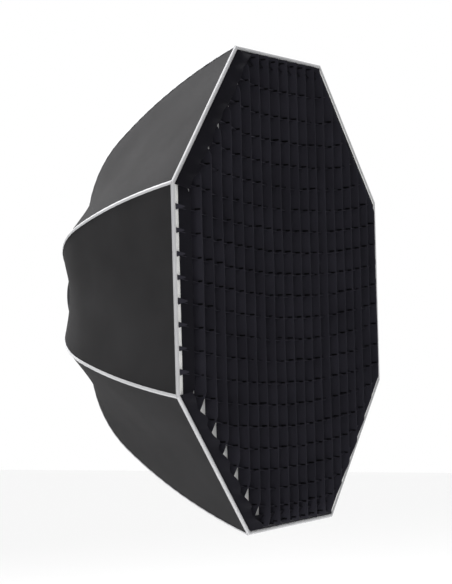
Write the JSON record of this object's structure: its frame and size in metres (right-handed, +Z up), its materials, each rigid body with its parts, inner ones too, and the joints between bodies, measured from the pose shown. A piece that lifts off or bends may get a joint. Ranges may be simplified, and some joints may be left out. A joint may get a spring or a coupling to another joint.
{
  "type": "octabox",
  "caption": "Folding octagonal softbox: umbrella-hinged ribs, panelled cloth shell, two diffusers, a front grid and a turning bayonet speedring.",
  "frame": {"origin": "centre of the mount flange's rear seat face", "axes": "+Z up, +Y towards the lamp along the optical axis, -Y out of the front, +X to the right"},
  "size_m": [1.1118, 0.5972, 1.1118],
  "materials": {
    "panel_cloth": "matt black woven polyester outside, silver coated inside",
    "diffuser_cloth": "thin white translucent polyester",
    "grid_cloth": "matt black coated strip cloth",
    "rod_glass_fibre": "pultruded glass fibre, satin black",
    "moulded_black": "fine textured black nylon",
    "ring_alloy": "black anodised turned aluminium",
    "steel": "plain brushed steel"
  },
  "bodies": {
    "mount": {"mount_flange": "steel", "retaining_ring": "ring_alloy", "retaining_screws": "steel"},
    "speedring": {"speedring": "ring_alloy", "rib_pins": "steel", "guide_posts": "steel", "stop_ring": "ring_alloy", "post_screws": "steel"},
    "runner": {"runner": "moulded_black", "runner_pins": "steel"},
    "latch_button_1": {"latch_button_1": "moulded_black"},
    "latch_button_2": {"latch_button_2": "moulded_black"},
    "thumb_screw_1": {"thumb_screw_1": "ring_alloy"},
    "thumb_screw_2": {"thumb_screw_2": "ring_alloy"},
    "front_diffuser": {"front_diffuser": "diffuser_cloth"},
    "inner_diffuser": {"inner_diffuser": "diffuser_cloth"},
    "grid": {"grid": "grid_cloth"},
    "rib_1": {"rib_socket_1": "moulded_black", "rib_rod_1": "rod_glass_fibre"},
    "stretcher_1": {"stretcher_1": "steel"},
    "rib_2": {"rib_socket_2": "moulded_black", "rib_rod_2": "rod_glass_fibre"},
    "stretcher_2": {"stretcher_2": "steel"},
    "rib_3": {"rib_socket_3": "moulded_black", "rib_rod_3": "rod_glass_fibre"},
    "stretcher_3": {"stretcher_3": "steel"},
    "rib_4": {"rib_socket_4": "moulded_black", "rib_rod_4": "rod_glass_fibre"},
    "stretcher_4": {"stretcher_4": "steel"},
    "rib_5": {"rib_socket_5": "moulded_black", "rib_rod_5": "rod_glass_fibre"},
    "stretcher_5": {"stretcher_5": "steel"},
    "rib_6": {"rib_socket_6": "moulded_black", "rib_rod_6": "rod_glass_fibre"},
    "stretcher_6": {"stretcher_6": "steel"},
    "rib_7": {"rib_socket_7": "moulded_black", "rib_rod_7": "rod_glass_fibre"},
    "stretcher_7": {"stretcher_7": "steel"},
    "rib_8": {"rib_socket_8": "moulded_black", "rib_rod_8": "rod_glass_fibre"},
    "stretcher_8": {"stretcher_8": "steel"},
    "gore_1_first": {"gore_1_first_half": "panel_cloth"},
    "gore_1_second": {"gore_1_second_half": "panel_cloth"},
    "gore_2_first": {"gore_2_first_half": "panel_cloth"},
    "gore_2_second": {"gore_2_second_half": "panel_cloth"},
    "gore_3_first": {"gore_3_first_half": "panel_cloth"},
    "gore_3_second": {"gore_3_second_half": "panel_cloth"},
    "gore_4_first": {"gore_4_first_half": "panel_cloth"},
    "gore_4_second": {"gore_4_second_half": "panel_cloth"},
    "gore_5_first": {"gore_5_first_half": "panel_cloth"},
    "gore_5_second": {"gore_5_second_half": "panel_cloth"},
    "gore_6_first": {"gore_6_first_half": "panel_cloth"},
    "gore_6_second": {"gore_6_second_half": "panel_cloth"},
    "gore_7_first": {"gore_7_first_half": "panel_cloth"},
    "gore_7_second": {"gore_7_second_half": "panel_cloth"},
    "gore_8_first": {"gore_8_first_half": "panel_cloth"},
    "gore_8_second": {"gore_8_second_half": "panel_cloth"}
  },
  "joints": [
    {"name": "speedring_turn", "type": "hinge", "parent": "mount", "child": "speedring", "pos_m": [0, -0.0132, 0], "axis": [0, 1, 0], "continuous": true},
    {"name": "runner_slide", "type": "slide", "parent": "speedring", "child": "runner", "axis": [0, -1, 0], "range_m": [0, 0.0579]},
    {"name": "latch_button_1_press", "type": "slide", "parent": "runner", "child": "latch_button_1", "axis": [-0.7071, 0, -0.7071], "range_m": [0, 0.004], "stiffness_N_per_m": 600, "springref_m": -0.002},
    {"name": "latch_button_2_press", "type": "slide", "parent": "runner", "child": "latch_button_2", "axis": [0.7071, 0, 0.7071], "range_m": [0, 0.004], "stiffness_N_per_m": 600, "springref_m": -0.002},
    {"name": "thumb_screw_1_turn", "type": "hinge", "parent": "speedring", "child": "thumb_screw_1", "pos_m": [-0.06223, -0.0132, 0.06223], "axis": [-0.7071, 0, 0.7071], "continuous": true},
    {"name": "thumb_screw_2_turn", "type": "hinge", "parent": "speedring", "child": "thumb_screw_2", "pos_m": [0.06223, -0.0132, -0.06223], "axis": [0.7071, 0, -0.7071], "continuous": true},
    {"name": "rib_1_fold", "type": "hinge", "parent": "speedring", "child": "rib_1", "pos_m": [0.08777, -0.045, 0.03635], "axis": [0.3827, 0, -0.9239], "range_deg": [0, 46]},
    {"name": "stretcher_1_swing", "type": "hinge", "parent": "rib_1", "child": "stretcher_1", "pos_m": [0.12991, -0.06874, 0.05381], "axis": [0.3827, 0, -0.9239], "range_deg": [-78.23, 0.5]},
    {"name": "rib_2_fold", "type": "hinge", "parent": "speedring", "child": "rib_2", "pos_m": [0.03635, -0.045, 0.08777], "axis": [0.9239, 0, -0.3827], "range_deg": [-0.5, 46.5]},
    {"name": "stretcher_2_swing", "type": "hinge", "parent": "rib_2", "child": "stretcher_2", "pos_m": [0.05381, -0.06874, 0.12991], "axis": [0.9239, 0, -0.3827], "range_deg": [-78.23, 0.5]},
    {"name": "rib_3_fold", "type": "hinge", "parent": "speedring", "child": "rib_3", "pos_m": [-0.03635, -0.045, 0.08777], "axis": [0.9239, 0, 0.3827], "range_deg": [-0.5, 46.5]},
    {"name": "stretcher_3_swing", "type": "hinge", "parent": "rib_3", "child": "stretcher_3", "pos_m": [-0.05381, -0.06874, 0.12991], "axis": [0.9239, 0, 0.3827], "range_deg": [-78.23, 0.5]},
    {"name": "rib_4_fold", "type": "hinge", "parent": "speedring", "child": "rib_4", "pos_m": [-0.08777, -0.045, 0.03635], "axis": [0.3827, 0, 0.9239], "range_deg": [-0.5, 46.5]},
    {"name": "stretcher_4_swing", "type": "hinge", "parent": "rib_4", "child": "stretcher_4", "pos_m": [-0.12991, -0.06874, 0.05381], "axis": [0.3827, 0, 0.9239], "range_deg": [-78.23, 0.5]},
    {"name": "rib_5_fold", "type": "hinge", "parent": "speedring", "child": "rib_5", "pos_m": [-0.08777, -0.045, -0.03635], "axis": [-0.3827, 0, 0.9239], "range_deg": [-0.5, 46.5]},
    {"name": "stretcher_5_swing", "type": "hinge", "parent": "rib_5", "child": "stretcher_5", "pos_m": [-0.12991, -0.06874, -0.05381], "axis": [-0.3827, 0, 0.9239], "range_deg": [-78.23, 0.5]},
    {"name": "rib_6_fold", "type": "hinge", "parent": "speedring", "child": "rib_6", "pos_m": [-0.03635, -0.045, -0.08777], "axis": [-0.9239, 0, 0.3827], "range_deg": [-0.5, 46.5]},
    {"name": "stretcher_6_swing", "type": "hinge", "parent": "rib_6", "child": "stretcher_6", "pos_m": [-0.05381, -0.06874, -0.12991], "axis": [-0.9239, 0, 0.3827], "range_deg": [-78.23, 0.5]},
    {"name": "rib_7_fold", "type": "hinge", "parent": "speedring", "child": "rib_7", "pos_m": [0.03635, -0.045, -0.08777], "axis": [-0.9239, 0, -0.3827], "range_deg": [-0.5, 46.5]},
    {"name": "stretcher_7_swing", "type": "hinge", "parent": "rib_7", "child": "stretcher_7", "pos_m": [0.05381, -0.06874, -0.12991], "axis": [-0.9239, 0, -0.3827], "range_deg": [-78.23, 0.5]},
    {"name": "rib_8_fold", "type": "hinge", "parent": "speedring", "child": "rib_8", "pos_m": [0.08777, -0.045, -0.03635], "axis": [-0.3827, 0, -0.9239], "range_deg": [-0.5, 46.5]},
    {"name": "stretcher_8_swing", "type": "hinge", "parent": "rib_8", "child": "stretcher_8", "pos_m": [0.12991, -0.06874, -0.05381], "axis": [-0.3827, 0, -0.9239], "range_deg": [-78.23, 0.5]},
    {"name": "gore_1_first_sway", "type": "hinge", "parent": "rib_1", "child": "gore_1_first", "pos_m": [0.08777, -0.045, 0.03635], "axis": [0.0324, 0.1726, 0.9845], "range_deg": [-0.5, 23.83], "deforming": ["gore_1_first_half"]},
    {"name": "gore_1_second_sway", "type": "hinge", "parent": "rib_2", "child": "gore_1_second", "pos_m": [0.03635, -0.045, 0.08777], "axis": [-0.9845, -0.1726, -0.0324], "range_deg": [-0.5, 23.83], "deforming": ["gore_1_second_half"]},
    {"name": "gore_2_first_sway", "type": "hinge", "parent": "rib_2", "child": "gore_2_first", "pos_m": [0.03635, -0.045, 0.08777], "axis": [-0.6732, 0.1726, 0.719], "range_deg": [-0.5, 23.83], "deforming": ["gore_2_first_half"]},
    {"name": "gore_2_second_sway", "type": "hinge", "parent": "rib_3", "child": "gore_2_second", "pos_m": [-0.03635, -0.045, 0.08777], "axis": [-0.6732, -0.1726, -0.719], "range_deg": [-0.5, 23.83], "deforming": ["gore_2_second_half"]},
    {"name": "gore_3_first_sway", "type": "hinge", "parent": "rib_3", "child": "gore_3_first", "pos_m": [-0.03635, -0.045, 0.08777], "axis": [-0.9845, 0.1726, 0.0324], "range_deg": [-0.5, 23.83], "deforming": ["gore_3_first_half"]},
    {"name": "gore_3_second_sway", "type": "hinge", "parent": "rib_4", "child": "gore_3_second", "pos_m": [-0.08777, -0.045, 0.03635], "axis": [0.0324, -0.1726, -0.9845], "range_deg": [-0.5, 23.83], "deforming": ["gore_3_second_half"]},
    {"name": "gore_4_first_sway", "type": "hinge", "parent": "rib_4", "child": "gore_4_first", "pos_m": [-0.08777, -0.045, 0.03635], "axis": [-0.719, 0.1726, -0.6732], "range_deg": [-0.5, 23.83], "deforming": ["gore_4_first_half"]},
    {"name": "gore_4_second_sway", "type": "hinge", "parent": "rib_5", "child": "gore_4_second", "pos_m": [-0.08777, -0.045, -0.03635], "axis": [0.719, -0.1726, -0.6732], "range_deg": [-0.5, 23.83], "deforming": ["gore_4_second_half"]},
    {"name": "gore_5_first_sway", "type": "hinge", "parent": "rib_5", "child": "gore_5_first", "pos_m": [-0.08777, -0.045, -0.03635], "axis": [-0.0324, 0.1726, -0.9845], "range_deg": [-0.5, 23.83], "deforming": ["gore_5_first_half"]},
    {"name": "gore_5_second_sway", "type": "hinge", "parent": "rib_6", "child": "gore_5_second", "pos_m": [-0.03635, -0.045, -0.08777], "axis": [0.9845, -0.1726, 0.0324], "range_deg": [-0.5, 23.83], "deforming": ["gore_5_second_half"]},
    {"name": "gore_6_first_sway", "type": "hinge", "parent": "rib_6", "child": "gore_6_first", "pos_m": [-0.03635, -0.045, -0.08777], "axis": [0.6732, 0.1726, -0.719], "range_deg": [-0.5, 23.83], "deforming": ["gore_6_first_half"]},
    {"name": "gore_6_second_sway", "type": "hinge", "parent": "rib_7", "child": "gore_6_second", "pos_m": [0.03635, -0.045, -0.08777], "axis": [0.6732, -0.1726, 0.719], "range_deg": [-0.5, 23.83], "deforming": ["gore_6_second_half"]},
    {"name": "gore_7_first_sway", "type": "hinge", "parent": "rib_7", "child": "gore_7_first", "pos_m": [0.03635, -0.045, -0.08777], "axis": [0.9845, 0.1726, -0.0324], "range_deg": [-0.5, 23.83], "deforming": ["gore_7_first_half"]},
    {"name": "gore_7_second_sway", "type": "hinge", "parent": "rib_8", "child": "gore_7_second", "pos_m": [0.08777, -0.045, -0.03635], "axis": [-0.0324, -0.1726, 0.9845], "range_deg": [-0.5, 23.83], "deforming": ["gore_7_second_half"]},
    {"name": "gore_8_first_sway", "type": "hinge", "parent": "rib_8", "child": "gore_8_first", "pos_m": [0.08777, -0.045, -0.03635], "axis": [0.719, 0.1726, 0.6732], "range_deg": [-0.5, 23.83], "deforming": ["gore_8_first_half"]},
    {"name": "gore_8_second_sway", "type": "hinge", "parent": "rib_1", "child": "gore_8_second", "pos_m": [0.08777, -0.045, 0.03635], "axis": [-0.719, -0.1726, 0.6732], "range_deg": [-0.5, 23.83], "deforming": ["gore_8_second_half"]},
    {"name": "inner_diffuser_removal", "type": "slide", "parent": "speedring", "child": "inner_diffuser", "axis": [0, -1, 0], "range_m": [0, 1.125]},
    {"name": "front_diffuser_removal", "type": "slide", "parent": "speedring", "child": "front_diffuser", "axis": [0, -1, 0], "range_m": [0, 1.045]},
    {"name": "grid_removal", "type": "slide", "parent": "front_diffuser", "child": "grid", "axis": [0, -1, 0], "range_m": [0, 0.25]}
  ],
  "couplings": [
    {"joint": "runner_slide", "follows": "rib_1_fold", "m_per_rad": 0.07196},
    {"joint": "stretcher_1_swing", "follows": "rib_1_fold", "ratio": -1.6898},
    {"joint": "rib_2_fold", "follows": "rib_1_fold", "ratio": 1},
    {"joint": "stretcher_2_swing", "follows": "rib_1_fold", "ratio": -1.6898},
    {"joint": "rib_3_fold", "follows": "rib_1_fold", "ratio": 1},
    {"joint": "stretcher_3_swing", "follows": "rib_1_fold", "ratio": -1.6898},
    {"joint": "rib_4_fold", "follows": "rib_1_fold", "ratio": 1},
    {"joint": "stretcher_4_swing", "follows": "rib_1_fold", "ratio": -1.6898},
    {"joint": "rib_5_fold", "follows": "rib_1_fold", "ratio": 1},
    {"joint": "stretcher_5_swing", "follows": "rib_1_fold", "ratio": -1.6898},
    {"joint": "rib_6_fold", "follows": "rib_1_fold", "ratio": 1},
    {"joint": "stretcher_6_swing", "follows": "rib_1_fold", "ratio": -1.6898},
    {"joint": "rib_7_fold", "follows": "rib_1_fold", "ratio": 1},
    {"joint": "stretcher_7_swing", "follows": "rib_1_fold", "ratio": -1.6898},
    {"joint": "rib_8_fold", "follows": "rib_1_fold", "ratio": 1},
    {"joint": "stretcher_8_swing", "follows": "rib_1_fold", "ratio": -1.6898},
    {"joint": "gore_1_first_sway", "follows": "rib_1_fold", "ratio": 0.50723},
    {"joint": "gore_1_second_sway", "follows": "rib_1_fold", "ratio": 0.50723},
    {"joint": "gore_2_first_sway", "follows": "rib_1_fold", "ratio": 0.50723},
    {"joint": "gore_2_second_sway", "follows": "rib_1_fold", "ratio": 0.50723},
    {"joint": "gore_3_first_sway", "follows": "rib_1_fold", "ratio": 0.50723},
    {"joint": "gore_3_second_sway", "follows": "rib_1_fold", "ratio": 0.50723},
    {"joint": "gore_4_first_sway", "follows": "rib_1_fold", "ratio": 0.50723},
    {"joint": "gore_4_second_sway", "follows": "rib_1_fold", "ratio": 0.50723},
    {"joint": "gore_5_first_sway", "follows": "rib_1_fold", "ratio": 0.50723},
    {"joint": "gore_5_second_sway", "follows": "rib_1_fold", "ratio": 0.50723},
    {"joint": "gore_6_first_sway", "follows": "rib_1_fold", "ratio": 0.50723},
    {"joint": "gore_6_second_sway", "follows": "rib_1_fold", "ratio": 0.50723},
    {"joint": "gore_7_first_sway", "follows": "rib_1_fold", "ratio": 0.50723},
    {"joint": "gore_7_second_sway", "follows": "rib_1_fold", "ratio": 0.50723},
    {"joint": "gore_8_first_sway", "follows": "rib_1_fold", "ratio": 0.50723},
    {"joint": "gore_8_second_sway", "follows": "rib_1_fold", "ratio": 0.50723},
    {"joint": "inner_diffuser_removal", "follows": "rib_1_fold", "m_per_rad": 1.4},
    {"joint": "front_diffuser_removal", "follows": "rib_1_fold", "m_per_rad": 1.3}
  ]
}
